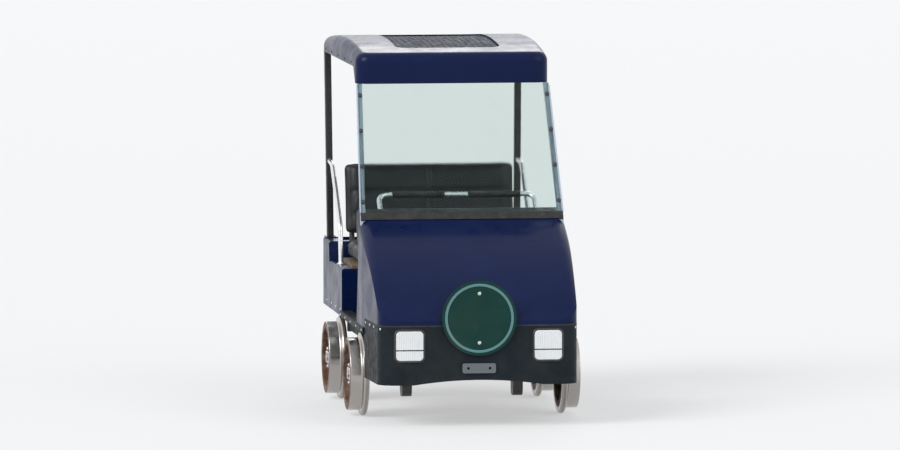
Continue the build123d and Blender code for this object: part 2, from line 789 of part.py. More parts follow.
def seat_hinges():
    """Two butt hinges along the front edge of the seat board; the pin turns with the board."""
    leaves, pins = [], []
    for x in (-hinge_spacing / 2, hinge_spacing / 2):
        fixed_from, fixed_to = x - hinge_length / 2, x + hinge_length / 2
        leaf = lying_x(hinge_radius, fixed_from, fixed_to, hinge_y, hinge_z)
        leaf += block(fixed_from, fixed_to, rear_body_front - rear_wall, rear_body_front,
                      hinge_z - hinge_leaf_height, hinge_z)
        leaf -= lying_x(hinge_pin_radius + journal_clearance, fixed_from - cut_past, fixed_to + cut_past,
                        hinge_y, hinge_z)
        leaves.append(leaf)
        outer = hinge_length / 2
        pin = lying_x(hinge_pin_radius, fixed_from - hinge_end_gap - outer, fixed_to + hinge_end_gap + outer,
                      hinge_y, hinge_z)
        for start in (fixed_from - hinge_end_gap - outer, fixed_to + hinge_end_gap):
            pin += lying_x(hinge_radius, start, start + outer, hinge_y, hinge_z)
            pin += block(start, start + outer, hinge_y, rear_body_front,
                         lid_bottom, lid_bottom + board_thickness)
        pins.append(pin)
    parts["seat_hinge_leaves"] = Compound(children=leaves)
    parts["seat_hinge_pins"] = Compound(children=pins)


def struts_and_hip_rails():
    for name, side in (("left", 1), ("right", -1)):
        foot = Pos(side * strut_foot_x, strut_foot_y, cargo_rim_z) * RectangleRounded(
            strut_size, strut_size, strut_corner_radius)
        head = Pos(side * strut_head_x, strut_head_y, roof_rim_bottom) * RectangleRounded(
            strut_size, strut_size, strut_corner_radius)
        strut = loft([foot, head])
        parts[f"rear_strut_{name}"] = strut
        share = (hip_head_z - cargo_rim_z) / (roof_rim_bottom - cargo_rim_z)
        head_x = side * (strut_foot_x + share * (strut_head_x - strut_foot_x))
        head_y = strut_foot_y + share * (strut_head_y - strut_foot_y)
        x = side * hip_tube_x
        path = [(head_x, head_y, hip_head_z), (x, hip_elbow_y, hip_elbow_z), (x, hip_knee_y, hip_knee_z),
                (x, hip_foot_y, seat_deck_z - hip_tube_radius)]
        tube = bent_tube(path, hip_tube_radius, hip_bend_radius)
        parts[f"hip_rail_{name}"] = tube - strut - rear_body_block(0, 0)


def machinery():
    engine = block(-engine_half_width, engine_half_width, engine_front, engine_rear,
                   rail_top, rail_top + engine_height)
    parts["engine_block"] = chamfer(engine.edges(), engine_chamfer)
    y = axle_ys["rear"]
    rows = [(y - case_half_length, cross_bottom, 0), (y + case_half_length, cross_bottom, 0),
            (y + case_half_length, case_shoulder_z, case_corner_radius),
            (y + case_foot_half_length, case_bottom, case_corner_radius),
            (y - case_foot_half_length, case_bottom, case_corner_radius),
            (y - case_half_length, case_shoulder_z, case_corner_radius)]
    case = across_car(rounded_outline(rows), case_half_width)
    case -= lying_x(axle_radius + journal_clearance, -case_half_width - cut_past, case_half_width + cut_past,
                    y, axle_z)
    parts["transaxle_case"] = case
    muffler_z = cross_bottom - muffler_radius - seat_gap
    muffler = lying_x(muffler_radius, -muffler_half_length, muffler_half_length, muffler_y, muffler_z)
    muffler = fillet(muffler.edges().filter_by(GeomType.CIRCLE), muffler_edge_radius)
    parts["muffler"] = muffler + lying_y(tail_pipe_radius, muffler_y, tail_pipe_rear, tail_pipe_x, muffler_z)


def rear_fittings():
    pin_y = hitch_rear - hitch_half_width
    middle = (rail_bottom + rail_top) / 2
    low, high = middle - hitch_thickness / 2, middle + hitch_thickness / 2
    tongue = block(-hitch_half_width, hitch_half_width, rail_rear + beam_depth, pin_y, low, high)
    tongue += Pos(0, pin_y, middle) * Cylinder(hitch_half_width, hitch_thickness)
    tongue -= Pos(0, pin_y, middle) * Cylinder(hitch_pin_radius, 2 * hitch_thickness)
    parts["rear_hitch"] = tongue
    lamps = []
    for x in (-tail_lamp_spacing / 2, tail_lamp_spacing / 2):
        lamp = along_car(Pos(x, tail_lamp_z) * RectangleRounded(tail_lamp_width, tail_lamp_height,
                                                                tail_lamp_corner_radius),
                         rear_body_rear, rear_body_rear + tail_lamp_depth)
        lamps.append(fillet(lamp.faces().sort_by(Axis.Y)[-1].edges(), tail_lamp_edge_radius))
    parts["tail_lamps"] = Compound(children=lamps)
    tuck = (rear_body_rear - rear_tuck_y) * (body_bracket_top_z - rear_bottom) / (rear_tuck_z - rear_bottom)
    wall_y = rear_tuck_y + tuck - rear_wall / 2
    rows = [(rail_rear, rail_top, 0), (rail_rear + beam_depth, rail_top, 0), (wall_y, body_bracket_top_z, 0),
            (wall_y - body_bracket_top_length, body_bracket_top_z, 0)]
    plate = across_car(rounded_outline(rows), body_bracket_width / 2)
    brackets = [Pos(side * body_bracket_spacing / 2, 0, 0) * plate - parts["rear_body"] for side in (-1, 1)]
    parts["body_brackets"] = Compound(children=brackets)


running_gear()
chassis()
pedestals()
front_bumper()
headlamps()
headboard()
tow_plate()
front_cowl()
floor_and_sills()
footwell_bulkhead()
dash()
grab_rail()
pedals()
roof()
windscreen_and_pillars()
rear_body()
seat()
seat_back_frame()
seat_hinges()
struts_and_hip_rails()
machinery()
rear_fittings()

os.makedirs("parts", exist_ok=True)
for node, shape in parts.items():
    export_step(shape, f"parts/{node}.step")
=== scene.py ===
import bmesh
import bpy
import json
import math
from mathutils import Matrix, Vector
from mathutils.bvhtree import BVHTree


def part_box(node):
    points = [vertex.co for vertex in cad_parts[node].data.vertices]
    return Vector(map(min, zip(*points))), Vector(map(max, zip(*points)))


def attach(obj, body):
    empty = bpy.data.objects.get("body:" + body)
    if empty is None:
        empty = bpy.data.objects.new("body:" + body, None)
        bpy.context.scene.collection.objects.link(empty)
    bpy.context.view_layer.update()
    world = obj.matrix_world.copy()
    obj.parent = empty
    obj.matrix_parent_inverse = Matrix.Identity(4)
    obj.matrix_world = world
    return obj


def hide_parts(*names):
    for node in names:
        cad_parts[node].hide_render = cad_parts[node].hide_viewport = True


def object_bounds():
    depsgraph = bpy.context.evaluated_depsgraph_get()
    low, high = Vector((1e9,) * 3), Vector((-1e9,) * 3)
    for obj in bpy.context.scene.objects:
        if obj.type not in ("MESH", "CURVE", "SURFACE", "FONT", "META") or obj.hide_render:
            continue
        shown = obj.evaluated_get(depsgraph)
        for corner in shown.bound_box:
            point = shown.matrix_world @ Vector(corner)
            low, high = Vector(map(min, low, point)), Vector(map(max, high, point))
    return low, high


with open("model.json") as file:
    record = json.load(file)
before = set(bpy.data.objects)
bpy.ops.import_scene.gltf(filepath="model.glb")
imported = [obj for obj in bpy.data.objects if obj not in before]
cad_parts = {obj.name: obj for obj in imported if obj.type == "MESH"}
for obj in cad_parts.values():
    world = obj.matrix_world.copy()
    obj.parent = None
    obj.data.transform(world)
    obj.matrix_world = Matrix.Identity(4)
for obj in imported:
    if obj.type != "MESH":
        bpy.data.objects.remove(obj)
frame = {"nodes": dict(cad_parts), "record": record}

# Looks of the open two-seat rail car: a material for every solid, soft seats, and the small fittings.
# Metres, in the frame of the solids: the car faces -Y, +X is its left side, +Z is up.

cad_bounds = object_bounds()
nodes = frame["nodes"]

# View of the photograph
view_azimuth = -7.0
view_elevation = 4.6
view_distance = 77.0
view_lens = 600.0
view_far = 400

# Wheels and axles of the solids
tread_radius = 0.185
flange_radius = 0.213
axle_height = flange_radius
axle_places = {"front": -0.475, "rear": 0.475}
hub_face_x = 0.575
hub_bolt_circle = 0.045
pedestal_inner_x = 0.2599
pedestal_outer_x = 0.31
pedestal_bolt_z = 0.27
bearing_bore = 0.0262
bearing_bolt_circle = 0.0415

# Front of the body
nose_y = -1.205
nose_half = 0.505
body_half = 0.53
nose_corner = 0.09
taper_end_y = -0.65
bumper_end_y = -0.72
seam_z = 0.515
lamp_x, lamp_z = 0.353, 0.415
lamp_half_w, lamp_half_h, lamp_corner = 0.07, 0.075, 0.022
lamp_split_z = 0.393
board_face_y, board_z = -1.2231, 0.555
board_screw_reach = 0.125
ring_inner, ring_outer, ring_blur = 0.162, 0.1752, 0.0005

# Windscreen: middle of its lower and upper edge, and half its width there
screen_base, screen_top = Vector((0, -0.495, 1.023)), Vector((0, -0.115, 1.668))
screen_base_half, screen_top_half = 0.52, 0.494
screen_thickness = 0.005

# Roof and struts
roof_front_y, roof_length = -0.12, 1.345
roof_front_half, roof_rear_half = 0.495, 0.52
roof_screw_z = 1.768
grip_front, grip_rear, grip_half, grip_corner = 0.0615, 1.0885, 0.2685, 0.0585
strut_foot, strut_head = Vector((0.489, 1.13, 0.7801)), Vector((0.497, 1.163, 1.7449))
strut_plate_height = 0.005

# Floor, pedals and rails
toe_foot = Vector((0, -0.64, 0.37))
toe_run, toe_out = Vector((0, -0.16, 0.19)).normalized(), Vector((0, 0.19, 0.16)).normalized()
pedal_places = (-0.33, -0.19)
pedal_rise, pedal_face = 0.135, 0.0581
hip_foot = Vector((0.495, 0.585, 0.6852))
grab_y, grab_z = -0.255, 1.108

# Rear of the body and side sills
rear_face_y = 1.19
rear_screw_z = 0.745
tail_lamp_x, tail_lamp_z = 0.4, 0.64
tail_lamp_half_w, tail_lamp_half_h, tail_lamp_corner = 0.06, 0.035, 0.015
rear_body_half, rear_side_screw_z = 0.525, 0.47
sill_half, sill_screw_z = 0.536, 0.4535
end_beam_y, end_beam_z = 1.14, 0.33
hinge_face_y, hinge_screw_z = 0.2939, 0.664
hinge_places = (-0.3, 0.3)

# Seats: space left for the swelling and its limit, crown and side seams, corners, and the leaning seat back
swell = 0.008
swell_limit = 0.012
crown_rise = 0.006
side_seam_x = 0.405
cushion_corner, back_corner = 0.03, 0.026
back_foot, back_head = Vector((0, 0.830, 0.812)), Vector((0, 0.898, 1.200))
back_half = 0.455
back_depth = 0.075


# Camera
low, high = cad_bounds
middle = (low + high) / 2
azimuth, elevation = math.radians(view_azimuth), math.radians(view_elevation)
back = Vector((math.sin(azimuth) * math.cos(elevation), -math.cos(azimuth) * math.cos(elevation),
               math.sin(elevation)))
camera = bpy.data.objects.new("camera", bpy.data.cameras.new("camera"))
bpy.context.scene.collection.objects.link(camera)
camera.data.lens = view_lens
camera.data.clip_end = view_far
camera.location = middle + back * view_distance
camera.rotation_mode = "QUATERNION"
camera.rotation_quaternion = (-back).to_track_quat("-Z", "Y")
bpy.context.scene.camera = camera


# Materials
class Finish:
    """A procedural material that is put together from a few kinds of nodes."""

    def __init__(self, name, colour, roughness, **sockets):
        self.material = bpy.data.materials.new(name)
        self.material.use_nodes = True
        self.tree = self.material.node_tree
        self.shader = self.tree.nodes["Principled BSDF"]
        self.shader.inputs["Base Color"].default_value = (*colour, 1)
        self.shader.inputs["Roughness"].default_value = roughness
        for key, value in sockets.items():
            self.shader.inputs[key.replace("_", " ")].default_value = value
        self.base = colour
        self.colour = (*colour, 1)
        self.height = None
        self.place = self.tree.nodes.new("ShaderNodeTexCoord").outputs["Object"]

    def link(self, source, target):
        """Links a socket, or sets a value. Does nothing with None."""
        if isinstance(source, bpy.types.NodeSocket):
            self.tree.links.new(source, target)
        elif source is not None:
            target.default_value = source

    def stretched(self, scale):
        """Object coordinates stretched along the axes."""
        node = self.tree.nodes.new("ShaderNodeMapping")
        self.link(self.place, node.inputs["Vector"])
        node.inputs["Scale"].default_value = scale
        return node.outputs["Vector"]

    def noise(self, scale, detail=3.0, roughness=0.5):
        node = self.tree.nodes.new("ShaderNodeTexNoise")
        self.link(self.place, node.inputs["Vector"])
        node.inputs["Scale"].default_value = scale
        node.inputs["Detail"].default_value = detail
        node.inputs["Roughness"].default_value = roughness
        return node.outputs["Fac"]

    def cells(self, scale, feature="F1"):
        node = self.tree.nodes.new("ShaderNodeTexVoronoi")
        node.feature = feature
        self.link(self.place, node.inputs["Vector"])
        node.inputs["Scale"].default_value = scale
        return node.outputs["Distance"]

    def bands(self, scale, direction="X", distortion=0.0, vector=None):
        node = self.tree.nodes.new("ShaderNodeTexWave")
        node.bands_direction = direction
        self.link(vector or self.place, node.inputs["Vector"])
        node.inputs["Scale"].default_value = scale
        node.inputs["Distortion"].default_value = distortion
        return node.outputs["Fac"]

    def maths(self, operation, a, b=None):
        node = self.tree.nodes.new("ShaderNodeMath")
        node.operation = operation
        for value, socket in zip((a, b), node.inputs):
            self.link(value, socket)
        return node.outputs["Value"]

    def distance(self, across, up):
        """Distance from a centre, from the offsets along two axes."""
        squares = self.maths("MULTIPLY", across, across), self.maths("MULTIPLY", up, up)
        return self.maths("SQRT", self.maths("ADD", *squares))

    def span(self, value, low, high, to_low=0.0, to_high=1.0):
        """Maps a value from one range to another, held at the ends."""
        node = self.tree.nodes.new("ShaderNodeMapRange")
        node.interpolation_type = "SMOOTHSTEP"
        for source, socket in zip((value, low, high, to_low, to_high), node.inputs):
            self.link(source, socket)
        return node.outputs["Result"]

    def axis(self, name):
        """Place along one axis of the car."""
        node = self.tree.nodes.new("ShaderNodeSeparateXYZ")
        self.link(self.place, node.inputs["Vector"])
        return node.outputs[name]

    def upward(self):
        """How far the surface faces up."""
        geometry = self.tree.nodes.new("ShaderNodeNewGeometry")
        node = self.tree.nodes.new("ShaderNodeSeparateXYZ")
        self.link(geometry.outputs["Normal"], node.inputs["Vector"])
        return node.outputs["Z"]

    def over(self, factor, colour):
        """Lays a colour over what is there, by a factor."""
        node = self.tree.nodes.new("ShaderNodeMix")
        node.data_type = "RGBA"
        self.link(factor, node.inputs["Factor"])
        self.link(self.colour, node.inputs[6])
        self.link((*colour, 1), node.inputs[7])
        self.colour = node.outputs[2]
        self.link(self.colour, self.shader.inputs["Base Color"])

    def clouds(self, noise, low, high, share, gain, lift=0.0):
        """Soft patches in which the base colour is lighter or darker."""
        self.over(self.span(noise, low, high, 0.0, share),
                  tuple(channel * gain + lift for channel in self.base))

    def rough(self, value, low, high):
        self.link(self.span(value, 0.3, 0.7, low, high), self.shader.inputs["Roughness"])

    def bump(self, height, distance, strength):
        node = self.tree.nodes.new("ShaderNodeBump")
        node.inputs["Strength"].default_value = strength
        node.inputs["Distance"].default_value = distance
        self.link(height, node.inputs["Height"])
        self.link(self.height, node.inputs["Normal"])
        self.height = node.outputs["Normal"]
        self.link(self.height, self.shader.inputs["Normal"])

    def dust(self, amount, top_z, colour=(0.11, 0.1, 0.085)):
        """Road dust that is thicker near the ground and on faces that look up."""
        patches = self.span(self.noise(7.0, 6.0, 0.65), 0.32, 0.72)
        near_ground = self.span(self.axis("Z"), 0.1, top_z, 1.0, 0.12)
        lying = self.span(self.upward(), 0.2, 1.0, 0.0, 0.55)
        spread = self.maths("MULTIPLY", patches, self.maths("MAXIMUM", near_ground, lying))
        self.over(self.maths("MULTIPLY", spread, amount), colour)


def moulded(name, colour, roughness, coat, dust, dust_top):
    """Smooth moulded plastic, slightly uneven."""
    finish = Finish(name, colour, roughness, Coat_Weight=coat, Coat_Roughness=0.09, Specular_IOR_Level=0.08)
    finish.clouds(finish.noise(2.2, 4.0, 0.6), 0.4, 0.8, 0.5, 1.5, 0.002)
    finish.dust(dust, dust_top)
    finish.rough(finish.noise(7.0, 5.0, 0.6), roughness - 0.05, roughness + 0.08)
    finish.bump(finish.noise(4.0, 1.0), 0.002, 0.04)
    finish.bump(finish.noise(220.0, 2.0), 0.0004, 0.06)
    return finish.material


def grained(name, colour, roughness, grain, dust):
    """Moulded plastic with a pressed grain."""
    finish = Finish(name, colour, roughness, Specular_IOR_Level=0.1)
    finish.clouds(finish.noise(4.0, 5.0, 0.6), 0.35, 0.75, 0.6, 1.7, 0.003)
    finish.dust(dust, 0.9)
    finish.rough(finish.noise(30.0, 3.0), roughness - 0.08, roughness + 0.1)
    finish.bump(finish.cells(grain, "SMOOTH_F1"), 0.0004, 0.25)
    finish.bump(finish.noise(grain * 0.35, 3.0), 0.0005, 0.15)
    return finish.material


def painted_steel(name, colour, roughness, rust, dust, dust_top=0.6):
    finish = Finish(name, colour, roughness, Coat_Weight=0.15, Coat_Roughness=0.2)
    finish.over(finish.span(finish.noise(14.0, 6.0, 0.7), 0.6, 0.74, 0.0, rust), (0.14, 0.055, 0.022))
    finish.dust(dust, dust_top)
    finish.rough(finish.noise(22.0, 4.0), roughness - 0.05, roughness + 0.2)
    finish.bump(finish.noise(190.0, 3.0), 0.0005, 0.15)
    return finish.material


def bright_tube(name, colour, roughness):
    finish = Finish(name, colour, roughness, Metallic=0.8)
    finish.over(finish.span(finish.noise(30.0, 5.0, 0.7), 0.62, 0.8, 0.0, 0.35), (0.32, 0.28, 0.24))
    finish.rough(finish.noise(60.0, 4.0), roughness - 0.03, roughness + 0.12)
    finish.bump(finish.noise(400.0, 2.0), 0.0002, 0.2)
    return finish.material


def rail_wheel():
    """Cast steel wheel: bright running band, brown rusty sides, oil near the hub."""
    finish = Finish("wheel_steel", (0.42, 0.4, 0.38), 0.34, Metallic=1.0)
    y, z = finish.axis("Y"), finish.axis("Z")
    near_front = finish.maths("LESS_THAN", y, 0.0)
    wheelbase = axle_places["rear"] - axle_places["front"]
    centre_y = finish.maths("SUBTRACT", axle_places["rear"], finish.maths("MULTIPLY", near_front, wheelbase))
    radius = finish.distance(finish.maths("SUBTRACT", y, centre_y), finish.maths("SUBTRACT", z, axle_height))
    patches = finish.noise(26.0, 6.0, 0.7)
    side = finish.span(radius, tread_radius - 0.003, tread_radius - 0.0005, 1.0, 0.0)
    flange_tip = finish.span(radius, flange_radius - 0.0005, flange_radius + 0.0002, 0.0, 0.5)
    off_band = finish.maths("MAXIMUM", side, flange_tip)
    rusty = finish.maths("MULTIPLY", finish.span(patches, 0.3, 0.6, 0.55, 1.0), off_band)
    finish.over(rusty, (0.115, 0.05, 0.024))
    oily = finish.span(radius, 0.03, 0.085, 0.85, 0.0)
    finish.over(finish.maths("MULTIPLY", oily, finish.span(patches, 0.3, 0.5)), (0.02, 0.017, 0.014))
    metallic = finish.maths("SUBTRACT", 1.0, finish.maths("MULTIPLY", rusty, 0.8))
    finish.link(metallic, finish.shader.inputs["Metallic"])
    finish.link(finish.span(rusty, 0.0, 1.0, 0.2, 0.72), finish.shader.inputs["Roughness"])
    finish.bump(finish.noise(150.0, 4.0, 0.7), 0.0012, 0.3)
    finish.bump(finish.noise(18.0, 3.0), 0.003, 0.12)
    return finish.material


def board_paint():
    """Round board: dark green field, pale ring, both left blank."""
    finish = Finish("board_green", (0.006, 0.038, 0.031), 0.34, Coat_Weight=0.06, Coat_Roughness=0.1,
                    Specular_IOR_Level=0.08)
    radius = finish.distance(finish.axis("X"), finish.maths("SUBTRACT", finish.axis("Z"), board_z))
    finish.over(finish.span(finish.noise(11.0, 5.0, 0.6), 0.4, 0.8, 0.0, 0.4), (0.01, 0.058, 0.05))
    inside = finish.span(radius, ring_inner - ring_blur, ring_inner + ring_blur)
    outside = finish.span(radius, ring_outer - ring_blur, ring_outer + ring_blur, 1.0, 0.0)
    finish.over(finish.maths("MULTIPLY", inside, outside), (0.12, 0.24, 0.25))
    finish.dust(0.15, 0.9)
    finish.rough(finish.noise(24.0, 4.0), 0.24, 0.42)
    finish.bump(finish.noise(240.0, 2.0), 0.0004, 0.12)
    return finish.material


def clear_sheet():
    """Thin clear sheet, which hardly bends what is seen through it."""
    finish = Finish("clear_screen", (0.52, 0.66, 0.62), 0.02, Transmission_Weight=1.0, IOR=1.01, Alpha=0.6,
                    Coat_Weight=0.1, Coat_Roughness=0.02)
    finish.over(finish.span(finish.noise(5.0, 6.0, 0.7), 0.5, 0.8, 0.0, 0.3), (0.42, 0.52, 0.49))
    finish.rough(finish.noise(12.0, 6.0, 0.7), 0.01, 0.05)
    finish.bump(finish.noise(3.0, 1.0), 0.002, 0.1)
    return finish.material


def lamp_lens(name, colour, ribs, split_z):
    """Ribbed lens in two parts, with painted shade as a dark line in the groove where they meet."""
    finish = Finish(name, colour, 0.12, Coat_Weight=0.3, Coat_Roughness=0.03, Specular_IOR_Level=0.25)
    finish.clouds(finish.noise(16.0, 3.0), 0.45, 0.8, 0.3, 0.8)
    off_groove_shade = finish.maths("ABSOLUTE", finish.maths("SUBTRACT", finish.axis("Z"), split_z))
    # Painted shade: a dark band along the groove at split_z, standing in for the shade that falls in it.
    finish.over(finish.span(off_groove_shade, 0.0028, 0.0034, 1.0, 0.0), (0.03, 0.032, 0.035))
    finish.rough(finish.noise(60.0, 3.0), 0.08, 0.2)
    finish.bump(finish.bands(ribs), 0.004, 0.35)
    return finish.material


def vinyl(name, colour):
    """Coated seat cover with a leather grain and worn, paler patches on top."""
    finish = Finish(name, colour, 0.5, Sheen_Weight=0.05, Sheen_Roughness=0.4, Specular_IOR_Level=0.35)
    finish.clouds(finish.noise(6.0, 5.0, 0.65), 0.4, 0.75, 0.55, 1.6, 0.004)
    worn = finish.span(finish.noise(9.0, 6.0), 0.5, 0.75, 0.0, 0.12)
    finish.over(finish.maths("MULTIPLY", finish.span(finish.upward(), 0.5, 1.0), worn), (0.1, 0.09, 0.08))
    finish.rough(finish.noise(12.0, 4.0), 0.38, 0.6)
    finish.bump(finish.cells(420.0), 0.0004, 0.25)
    finish.bump(finish.noise(28.0, 4.0), 0.002, 0.1)
    return finish.material


def rubber(name, colour=(0.018, 0.018, 0.019), grain=500.0, dust=0.5):
    finish = Finish(name, colour, 0.7, Specular_IOR_Level=0.35)
    finish.over(finish.span(finish.noise(20.0, 5.0), 0.45, 0.75, 0.0, 0.6), (0.045, 0.044, 0.042))
    finish.dust(dust, 0.9)
    finish.rough(finish.noise(35.0, 3.0), 0.6, 0.85)
    finish.bump(finish.noise(grain, 3.0), 0.0006, 0.4)
    return finish.material


def wood(name):
    """Painted plywood with the grain showing through."""
    finish = Finish(name, (0.16, 0.11, 0.065), 0.55)
    grain = finish.bands(14.0, "Y", 6.0, finish.stretched((0.35, 1.0, 2.0)))
    finish.over(finish.span(grain, 0.3, 0.9, 0.0, 0.6), (0.08, 0.05, 0.028))
    finish.over(finish.span(finish.bands(110.0, "Z"), 0.4, 0.6, 0.0, 0.25), (0.22, 0.16, 0.1))
    finish.rough(finish.noise(18.0, 4.0), 0.45, 0.7)
    finish.bump(grain, 0.0008, 0.3)
    return finish.material


def cast_metal(name, colour, stain):
    finish = Finish(name, colour, 0.55, Metallic=0.6)
    finish.over(finish.span(finish.noise(9.0, 6.0, 0.7), 0.42, 0.7, 0.0, 0.7), stain)
    finish.dust(0.4, 0.7)
    finish.rough(finish.noise(24.0, 4.0), 0.42, 0.75)
    finish.bump(finish.noise(220.0, 4.0, 0.7), 0.0012, 0.45)
    return finish.material


looks = {
    "frame_steel": painted_steel("frame_steel", (0.035, 0.035, 0.038), 0.42, 0.75, 0.7),
    "wheel_steel": rail_wheel(),
    "case_metal": cast_metal("case_metal", (0.32, 0.32, 0.31), (0.07, 0.05, 0.035)),
    "exhaust_steel": cast_metal("exhaust_steel", (0.26, 0.22, 0.19), (0.16, 0.07, 0.03)),
    "body_blue": moulded("body_blue", (0.002, 0.0085, 0.049), 0.3, 0.1, 0.05, 0.8),
    "bumper_dark": grained("bumper_dark", (0.008, 0.013, 0.017), 0.5, 620.0, 0.12),
    "inner_plastic": grained("inner_plastic", (0.03, 0.034, 0.04), 0.5, 520.0, 0.25),
    "tube_bright": bright_tube("tube_bright", (0.78, 0.79, 0.81), 0.16),
    "tube_black": painted_steel("tube_black", (0.014, 0.014, 0.016), 0.28, 0.12, 0.25, 0.7),
    # The pale blue-grey of the pillars and the screen trim is a painted reflection of the sky on glossy dark
    # tubes.
    "pillar_pale": painted_steel("pillar_pale", (0.36, 0.43, 0.52), 0.3, 0.05, 0.2, 0.7),
    "clear_screen": clear_sheet(),
    "seal_rubber": rubber("seal_rubber"),
    "lamp_white": lamp_lens("lamp_white", (0.76, 0.78, 0.79), 28.0, lamp_split_z),
    "lamp_red": lamp_lens("lamp_red", (0.4, 0.01, 0.01), 34.0, tail_lamp_z),
    "board_green": board_paint(),
    "seat_vinyl": vinyl("seat_vinyl", (0.017, 0.018, 0.021)),
    "board_wood": wood("board_wood"),
    "plate_grey": painted_steel("plate_grey", (0.11, 0.13, 0.14), 0.4, 0.25, 0.15),
}
fastener_metal = bright_tube("fastener_metal", (0.6, 0.6, 0.6), 0.28)
fastener_black = painted_steel("fastener_black", (0.022, 0.022, 0.024), 0.35, 0.2, 0.3)
mat_rubber = rubber("mat_rubber", (0.03, 0.03, 0.031), 300.0, 0.8)
roof_coating = rubber("roof_coating", (0.008, 0.013, 0.034), 700.0, 0.1)
piping_vinyl = vinyl("piping_vinyl", (0.014, 0.014, 0.016))

slot_of = {part["node"]: part["material_slot"] for part in frame["record"]["subparts"]}
painted_apart = {"front_tow_plate": "plate_grey"}
for node, obj in nodes.items():
    obj.data.materials.clear()
    obj.data.materials.append(looks[painted_apart.get(node, slot_of[node])])


# Builders of small pieces
def piece(name, mesh_maker, material, body, smooth_angle=35.0, bevel=0.0, segments=2):
    """Makes one object from a function that fills a bmesh."""
    bm = bmesh.new()
    mesh_maker(bm)
    bmesh.ops.recalc_face_normals(bm, faces=bm.faces)
    mesh = bpy.data.meshes.new(name)
    bm.to_mesh(mesh)
    bm.free()
    obj = bpy.data.objects.new(name, mesh)
    bpy.context.scene.collection.objects.link(obj)
    mesh.materials.append(material)
    for polygon in mesh.polygons:
        polygon.use_smooth = True
    if bevel:
        modifier = obj.modifiers.new("edges", "BEVEL")
        modifier.width = bevel
        modifier.segments = segments
        modifier.limit_method = "ANGLE"
    mesh.set_sharp_from_angle(angle=math.radians(smooth_angle))
    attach(obj, body)


def clamp(value, low, high):
    return max(low, min(high, value))


def turned(place, normal, spin=0.0):
    """Matrix whose Z looks along a normal."""
    turn = Vector(normal).to_track_quat("Z", "Y").to_matrix().to_4x4()
    return Matrix.Translation(place) @ turn @ Matrix.Rotation(spin, 4, "Z")


def bridge(bm, rings, capped=True, looped=False):
    """Joins rings of points with quads, and closes the ends or joins the last ring to the first."""
    for one, other in zip(rings, rings[1:] + (rings[:1] if looped else [])):
        for k in range(len(one)):
            j = (k + 1) % len(one)
            bm.faces.new((one[k], one[j], other[j], other[k]))
    if capped:
        bm.faces.new(rings[0][::-1])
        bm.faces.new(rings[-1])


def add_lathe(bm, matrix, profile, sides):
    """Turned form about Z from rows of (radius, height). A radius of 0 closes an end."""
    turns = [2 * math.pi * i / sides for i in range(sides)]
    rings = []
    for radius, height in profile:
        row = [Vector((radius * math.cos(turn), radius * math.sin(turn), height)) for turn in turns]
        rings.append([bm.verts.new(matrix @ point) for point in (row if radius else row[:1])])
    for lower, upper in zip(rings, rings[1:]):
        for i in range(sides):
            j = (i + 1) % sides
            if len(lower) == 1:
                bm.faces.new((lower[0], upper[j], upper[i]))
            elif len(upper) == 1:
                bm.faces.new((lower[i], lower[j], upper[0]))
            else:
                bm.faces.new((lower[i], lower[j], upper[j], upper[i]))


def add_hex(bm, place, normal, size, height, washer=0.0, spin=0.0):
    """Hexagon head with its chamfer, on a washer if its radius is given."""
    matrix = turned(place, normal, spin)
    base = 0.0
    if washer:
        base = 0.0015
        add_lathe(bm, matrix,
                  [(0, 0), (washer, 0), (washer, base * 0.7), (washer - 0.0005, base), (0, base)], 20)
    add_lathe(bm, matrix, [(0, base), (size, base), (size, base + height * 0.86), (size * 0.9, base + height),
                           (size * 0.3, base + height), (0, base + height * 0.94)], 6)


def add_round(bm, place, normal, size, height, spin=0.0):
    """Round screw head with a sunken socket."""
    matrix = turned(place, normal, spin)
    add_lathe(bm, matrix, [(0, 0), (size, 0), (size * 0.97, height * 0.35), (size * 0.8, height * 0.75),
                           (size * 0.5, height), (size * 0.34, height), (size * 0.3, height * 0.45),
                           (0, height * 0.45)], 14)


def add_box(bm, low, high, matrix=Matrix.Identity(4)):
    corners = [bm.verts.new(matrix @ Vector((x, y, z))) for x in (low[0], high[0]) for y in (low[1], high[1])
               for z in (low[2], high[2])]
    for face in ((0, 1, 3, 2), (4, 6, 7, 5), (0, 4, 5, 1), (2, 3, 7, 6), (0, 2, 6, 4), (1, 5, 7, 3)):
        bm.faces.new([corners[i] for i in face])


def add_mat(bm, low, high, count, pitch, rib_half, margin, sink, rise):
    """Flat mat with ribs along the car."""
    add_box(bm, low, high)
    for i in range(count):
        x = pitch * (i - (count - 1) / 2)
        add_box(bm, (x - rib_half, low[1] + margin, high[2] - sink),
                (x + rib_half, high[1] - margin, high[2] + rise))


def add_tube(bm, points, radius, sides, closed=False):
    """Round bead along a row of points."""
    count = len(points)
    rings = []
    normal = None
    for i, point in enumerate(points):
        before = points[i - 1] if closed or i else point
        after = points[(i + 1) % count] if closed or i < count - 1 else point
        along = (after - before).normalized()
        if normal is None:
            normal = along.orthogonal().normalized()
        normal = (normal - along * normal.dot(along)).normalized()
        across = along.cross(normal)
        rings.append([bm.verts.new(point + radius * (math.cos(2 * math.pi * k / sides) * normal
                                                     + math.sin(2 * math.pi * k / sides) * across))
                      for k in range(sides)])
    if closed:
        start = rings[0]
        shift = min(range(sides), key=lambda s: (rings[-1][0].co - start[s].co).length)
        rings.append(start[shift:] + start[:shift])
    bridge(bm, rings, capped=not closed)


def add_ribbon(bm, points, normals, half_height, thickness):
    """Flat strip that stands off a wall along level points, its height along Z."""
    profile = ((-half_height, -0.0005), (-half_height * 0.8, thickness), (half_height * 0.8, thickness),
               (half_height, -0.0005))
    bridge(bm, [[bm.verts.new(point + Vector((0, 0, dz)) + normal * out) for dz, out in profile]
                for point, normal in zip(points, normals)])


